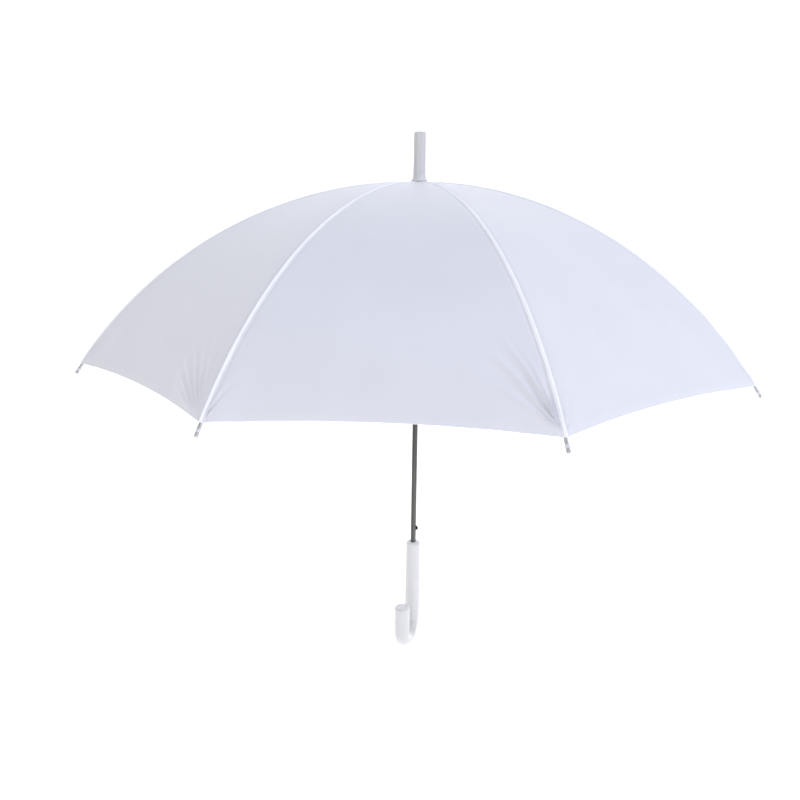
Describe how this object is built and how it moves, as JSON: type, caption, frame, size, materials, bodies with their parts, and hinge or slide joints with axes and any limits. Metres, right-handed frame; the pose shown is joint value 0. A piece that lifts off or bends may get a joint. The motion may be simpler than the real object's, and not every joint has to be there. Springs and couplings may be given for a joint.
{
  "type": "stick umbrella",
  "caption": "Open stick umbrella with a domed fabric canopy on sprung ribs, a sliding runner with thumb catches, a long ferrule and a hooked handle.",
  "frame": {"origin": "on the shaft's axis, at the middle of the handle's straight grip", "axes": "+Z along the shaft towards the ferrule, -Y towards the free end of the handle's crook, +X the side the runner catches stand out of"},
  "size_m": [0.9324, 0.9324, 0.8307],
  "materials": {
    "white_cloth": "satin woven polyester",
    "white_plastic": "glossy",
    "white_nylon": "matt",
    "shaft_steel": "dark satin",
    "rib_steel": "satin",
    "bright_steel": "bright",
    "black_spring": "satin"
  },
  "bodies": {
    "frame": {"shaft": "shaft_steel", "shaft_pins": "bright_steel", "crown": "white_nylon", "crown_wire": "bright_steel", "canopy_washer": "white_nylon", "ferrule": "white_plastic", "handle": "white_plastic"},
    "runner": {"runner": "white_nylon", "runner_wire": "bright_steel"},
    "top_catch": {"top_catch": "black_spring"},
    "bottom_catch": {"bottom_catch": "black_spring"},
    "rib_1": {"rib_1": "rib_steel", "rib_tip_1": "bright_steel", "rib_joint_1": "rib_steel"},
    "stretcher_1": {"stretcher_1": "rib_steel"},
    "flap_1_left": {"canopy_gore_1_left": "white_cloth"},
    "flap_1_right": {"canopy_gore_8_right": "white_cloth"},
    "rib_2": {"rib_2": "rib_steel", "rib_tip_2": "bright_steel", "rib_joint_2": "rib_steel"},
    "stretcher_2": {"stretcher_2": "rib_steel"},
    "flap_2_left": {"canopy_gore_2_left": "white_cloth"},
    "flap_2_right": {"canopy_gore_1_right": "white_cloth"},
    "rib_3": {"rib_3": "rib_steel", "rib_tip_3": "bright_steel", "rib_joint_3": "rib_steel"},
    "stretcher_3": {"stretcher_3": "rib_steel"},
    "flap_3_left": {"canopy_gore_3_left": "white_cloth"},
    "flap_3_right": {"canopy_gore_2_right": "white_cloth"},
    "rib_4": {"rib_4": "rib_steel", "rib_tip_4": "bright_steel", "rib_joint_4": "rib_steel"},
    "stretcher_4": {"stretcher_4": "rib_steel"},
    "flap_4_left": {"canopy_gore_4_left": "white_cloth"},
    "flap_4_right": {"canopy_gore_3_right": "white_cloth"},
    "rib_5": {"rib_5": "rib_steel", "rib_tip_5": "bright_steel", "rib_joint_5": "rib_steel"},
    "stretcher_5": {"stretcher_5": "rib_steel"},
    "flap_5_left": {"canopy_gore_5_left": "white_cloth"},
    "flap_5_right": {"canopy_gore_4_right": "white_cloth"},
    "rib_6": {"rib_6": "rib_steel", "rib_tip_6": "bright_steel", "rib_joint_6": "rib_steel"},
    "stretcher_6": {"stretcher_6": "rib_steel"},
    "flap_6_left": {"canopy_gore_6_left": "white_cloth"},
    "flap_6_right": {"canopy_gore_5_right": "white_cloth"},
    "rib_7": {"rib_7": "rib_steel", "rib_tip_7": "bright_steel", "rib_joint_7": "rib_steel"},
    "stretcher_7": {"stretcher_7": "rib_steel"},
    "flap_7_left": {"canopy_gore_7_left": "white_cloth"},
    "flap_7_right": {"canopy_gore_6_right": "white_cloth"},
    "rib_8": {"rib_8": "rib_steel", "rib_tip_8": "bright_steel", "rib_joint_8": "rib_steel"},
    "stretcher_8": {"stretcher_8": "rib_steel"},
    "flap_8_left": {"canopy_gore_8_left": "white_cloth"},
    "flap_8_right": {"canopy_gore_7_right": "white_cloth"}
  },
  "joints": [
    {"name": "canopy_fold", "type": "hinge", "parent": "frame", "child": "rib_1", "pos_m": [0.00831, 0.00344, 0.648], "axis": [-0.3827, 0.9239, 0], "range_deg": [0, 61.06], "deforming": ["canopy_gore_1_left", "canopy_gore_8_right", "canopy_gore_2_left", "canopy_gore_1_right", "canopy_gore_3_left", "canopy_gore_2_right", "canopy_gore_4_left", "canopy_gore_3_right", "canopy_gore_5_left", "canopy_gore_4_right", "canopy_gore_6_left", "canopy_gore_5_right", "canopy_gore_7_left", "canopy_gore_6_right", "canopy_gore_8_left", "canopy_gore_7_right", "rib_1", "rib_2", "rib_3", "rib_4", "rib_5", "rib_6", "rib_7", "rib_8", "top_catch", "bottom_catch"]},
    {"name": "stretcher_fold_1", "type": "hinge", "parent": "rib_1", "child": "stretcher_1", "pos_m": [0.24491, 0.10145, 0.58595], "axis": [-0.3827, 0.9239, 0], "range_deg": [-122.13, 0]},
    {"name": "flap_fold_1_left", "type": "hinge", "parent": "rib_1", "child": "flap_1_left", "pos_m": [0.00831, 0.00344, 0.648], "axis": [0.8172, 0.3385, -0.4664], "range_deg": [0, 65.15]},
    {"name": "flap_fold_1_right", "type": "hinge", "parent": "rib_1", "child": "flap_1_right", "pos_m": [0.00831, 0.00344, 0.648], "axis": [-0.8172, -0.3385, 0.4664], "range_deg": [0, 65.15]},
    {"name": "rib_fold_2", "type": "hinge", "parent": "frame", "child": "rib_2", "pos_m": [0.00344, 0.00831, 0.648], "axis": [-0.9239, 0.3827, 0], "range_deg": [0, 61.06]},
    {"name": "stretcher_fold_2", "type": "hinge", "parent": "rib_2", "child": "stretcher_2", "pos_m": [0.10145, 0.24491, 0.58595], "axis": [-0.9239, 0.3827, 0], "range_deg": [-122.13, 0]},
    {"name": "flap_fold_2_left", "type": "hinge", "parent": "rib_2", "child": "flap_2_left", "pos_m": [0.00344, 0.00831, 0.648], "axis": [0.3385, 0.8172, -0.4664], "range_deg": [0, 65.15]},
    {"name": "flap_fold_2_right", "type": "hinge", "parent": "rib_2", "child": "flap_2_right", "pos_m": [0.00344, 0.00831, 0.648], "axis": [-0.3385, -0.8172, 0.4664], "range_deg": [0, 65.15]},
    {"name": "rib_fold_3", "type": "hinge", "parent": "frame", "child": "rib_3", "pos_m": [-0.00344, 0.00831, 0.648], "axis": [-0.9239, -0.3827, 0], "range_deg": [0, 61.06]},
    {"name": "stretcher_fold_3", "type": "hinge", "parent": "rib_3", "child": "stretcher_3", "pos_m": [-0.10145, 0.24491, 0.58595], "axis": [-0.9239, -0.3827, 0], "range_deg": [-122.13, 0]},
    {"name": "flap_fold_3_left", "type": "hinge", "parent": "rib_3", "child": "flap_3_left", "pos_m": [-0.00344, 0.00831, 0.648], "axis": [-0.3385, 0.8172, -0.4664], "range_deg": [0, 65.15]},
    {"name": "flap_fold_3_right", "type": "hinge", "parent": "rib_3", "child": "flap_3_right", "pos_m": [-0.00344, 0.00831, 0.648], "axis": [0.3385, -0.8172, 0.4664], "range_deg": [0, 65.15]},
    {"name": "rib_fold_4", "type": "hinge", "parent": "frame", "child": "rib_4", "pos_m": [-0.00831, 0.00344, 0.648], "axis": [-0.3827, -0.9239, 0], "range_deg": [0, 61.06]},
    {"name": "stretcher_fold_4", "type": "hinge", "parent": "rib_4", "child": "stretcher_4", "pos_m": [-0.24491, 0.10145, 0.58595], "axis": [-0.3827, -0.9239, 0], "range_deg": [-122.13, 0]},
    {"name": "flap_fold_4_left", "type": "hinge", "parent": "rib_4", "child": "flap_4_left", "pos_m": [-0.00831, 0.00344, 0.648], "axis": [-0.8172, 0.3385, -0.4664], "range_deg": [0, 65.15]},
    {"name": "flap_fold_4_right", "type": "hinge", "parent": "rib_4", "child": "flap_4_right", "pos_m": [-0.00831, 0.00344, 0.648], "axis": [0.8172, -0.3385, 0.4664], "range_deg": [0, 65.15]},
    {"name": "rib_fold_5", "type": "hinge", "parent": "frame", "child": "rib_5", "pos_m": [-0.00831, -0.00344, 0.648], "axis": [0.3827, -0.9239, 0], "range_deg": [0, 61.06]},
    {"name": "stretcher_fold_5", "type": "hinge", "parent": "rib_5", "child": "stretcher_5", "pos_m": [-0.24491, -0.10145, 0.58595], "axis": [0.3827, -0.9239, 0], "range_deg": [-122.13, 0]},
    {"name": "flap_fold_5_left", "type": "hinge", "parent": "rib_5", "child": "flap_5_left", "pos_m": [-0.00831, -0.00344, 0.648], "axis": [-0.8172, -0.3385, -0.4664], "range_deg": [0, 65.15]},
    {"name": "flap_fold_5_right", "type": "hinge", "parent": "rib_5", "child": "flap_5_right", "pos_m": [-0.00831, -0.00344, 0.648], "axis": [0.8172, 0.3385, 0.4664], "range_deg": [0, 65.15]},
    {"name": "rib_fold_6", "type": "hinge", "parent": "frame", "child": "rib_6", "pos_m": [-0.00344, -0.00831, 0.648], "axis": [0.9239, -0.3827, 0], "range_deg": [0, 61.06]},
    {"name": "stretcher_fold_6", "type": "hinge", "parent": "rib_6", "child": "stretcher_6", "pos_m": [-0.10145, -0.24491, 0.58595], "axis": [0.9239, -0.3827, 0], "range_deg": [-122.13, 0]},
    {"name": "flap_fold_6_left", "type": "hinge", "parent": "rib_6", "child": "flap_6_left", "pos_m": [-0.00344, -0.00831, 0.648], "axis": [-0.3385, -0.8172, -0.4664], "range_deg": [0, 65.15]},
    {"name": "flap_fold_6_right", "type": "hinge", "parent": "rib_6", "child": "flap_6_right", "pos_m": [-0.00344, -0.00831, 0.648], "axis": [0.3385, 0.8172, 0.4664], "range_deg": [0, 65.15]},
    {"name": "rib_fold_7", "type": "hinge", "parent": "frame", "child": "rib_7", "pos_m": [0.00344, -0.00831, 0.648], "axis": [0.9239, 0.3827, 0], "range_deg": [0, 61.06]},
    {"name": "stretcher_fold_7", "type": "hinge", "parent": "rib_7", "child": "stretcher_7", "pos_m": [0.10145, -0.24491, 0.58595], "axis": [0.9239, 0.3827, 0], "range_deg": [-122.13, 0]},
    {"name": "flap_fold_7_left", "type": "hinge", "parent": "rib_7", "child": "flap_7_left", "pos_m": [0.00344, -0.00831, 0.648], "axis": [0.3385, -0.8172, -0.4664], "range_deg": [0, 65.15]},
    {"name": "flap_fold_7_right", "type": "hinge", "parent": "rib_7", "child": "flap_7_right", "pos_m": [0.00344, -0.00831, 0.648], "axis": [-0.3385, 0.8172, 0.4664], "range_deg": [0, 65.15]},
    {"name": "rib_fold_8", "type": "hinge", "parent": "frame", "child": "rib_8", "pos_m": [0.00831, -0.00344, 0.648], "axis": [0.3827, 0.9239, 0], "range_deg": [0, 61.06]},
    {"name": "stretcher_fold_8", "type": "hinge", "parent": "rib_8", "child": "stretcher_8", "pos_m": [0.24491, -0.10145, 0.58595], "axis": [0.3827, 0.9239, 0], "range_deg": [-122.13, 0]},
    {"name": "flap_fold_8_left", "type": "hinge", "parent": "rib_8", "child": "flap_8_left", "pos_m": [0.00831, -0.00344, 0.648], "axis": [0.8172, -0.3385, -0.4664], "range_deg": [0, 65.15]},
    {"name": "flap_fold_8_right", "type": "hinge", "parent": "rib_8", "child": "flap_8_right", "pos_m": [0.00831, -0.00344, 0.648], "axis": [-0.8172, 0.3385, 0.4664], "range_deg": [0, 65.15]},
    {"name": "runner_turn", "type": "hinge", "parent": "stretcher_1", "child": "runner", "pos_m": [0.00831, 0.00344, 0.52389], "axis": [-0.3827, 0.9239, 0], "range_deg": [0, 61.07]},
    {"name": "top_catch_press", "type": "hinge", "parent": "frame", "child": "top_catch", "pos_m": [0, 0, 0.44189], "axis": [0, -1, 0], "range_deg": [0, 6.7], "stiffness_Nm_per_rad": 0.05, "springref_deg": -34.38},
    {"name": "bottom_catch_press", "type": "hinge", "parent": "frame", "child": "bottom_catch", "pos_m": [0, 0, 0.05773], "axis": [0, -1, 0], "range_deg": [0, 6.7], "stiffness_Nm_per_rad": 0.05, "springref_deg": -34.38}
  ],
  "couplings": [
    {"joint": "flap_fold_1_left", "follows": "canopy_fold", "ratio": 1.0662},
    {"joint": "flap_fold_1_right", "follows": "canopy_fold", "ratio": 1.0662},
    {"joint": "stretcher_fold_1", "follows": "canopy_fold", "ratio": -2},
    {"joint": "flap_fold_2_left", "follows": "canopy_fold", "ratio": 1.0662},
    {"joint": "flap_fold_2_right", "follows": "canopy_fold", "ratio": 1.0662},
    {"joint": "stretcher_fold_2", "follows": "canopy_fold", "ratio": -2},
    {"joint": "rib_fold_2", "follows": "canopy_fold", "ratio": 1},
    {"joint": "flap_fold_3_left", "follows": "canopy_fold", "ratio": 1.0662},
    {"joint": "flap_fold_3_right", "follows": "canopy_fold", "ratio": 1.0662},
    {"joint": "stretcher_fold_3", "follows": "canopy_fold", "ratio": -2},
    {"joint": "rib_fold_3", "follows": "canopy_fold", "ratio": 1},
    {"joint": "flap_fold_4_left", "follows": "canopy_fold", "ratio": 1.0662},
    {"joint": "flap_fold_4_right", "follows": "canopy_fold", "ratio": 1.0662},
    {"joint": "stretcher_fold_4", "follows": "canopy_fold", "ratio": -2},
    {"joint": "rib_fold_4", "follows": "canopy_fold", "ratio": 1},
    {"joint": "flap_fold_5_left", "follows": "canopy_fold", "ratio": 1.0662},
    {"joint": "flap_fold_5_right", "follows": "canopy_fold", "ratio": 1.0662},
    {"joint": "stretcher_fold_5", "follows": "canopy_fold", "ratio": -2},
    {"joint": "rib_fold_5", "follows": "canopy_fold", "ratio": 1},
    {"joint": "flap_fold_6_left", "follows": "canopy_fold", "ratio": 1.0662},
    {"joint": "flap_fold_6_right", "follows": "canopy_fold", "ratio": 1.0662},
    {"joint": "stretcher_fold_6", "follows": "canopy_fold", "ratio": -2},
    {"joint": "rib_fold_6", "follows": "canopy_fold", "ratio": 1},
    {"joint": "flap_fold_7_left", "follows": "canopy_fold", "ratio": 1.0662},
    {"joint": "flap_fold_7_right", "follows": "canopy_fold", "ratio": 1.0662},
    {"joint": "stretcher_fold_7", "follows": "canopy_fold", "ratio": -2},
    {"joint": "rib_fold_7", "follows": "canopy_fold", "ratio": 1},
    {"joint": "flap_fold_8_left", "follows": "canopy_fold", "ratio": 1.0662},
    {"joint": "flap_fold_8_right", "follows": "canopy_fold", "ratio": 1.0662},
    {"joint": "stretcher_fold_8", "follows": "canopy_fold", "ratio": -2},
    {"joint": "rib_fold_8", "follows": "canopy_fold", "ratio": 1},
    {"joint": "runner_turn", "follows": "canopy_fold", "ratio": 1}
  ]
}
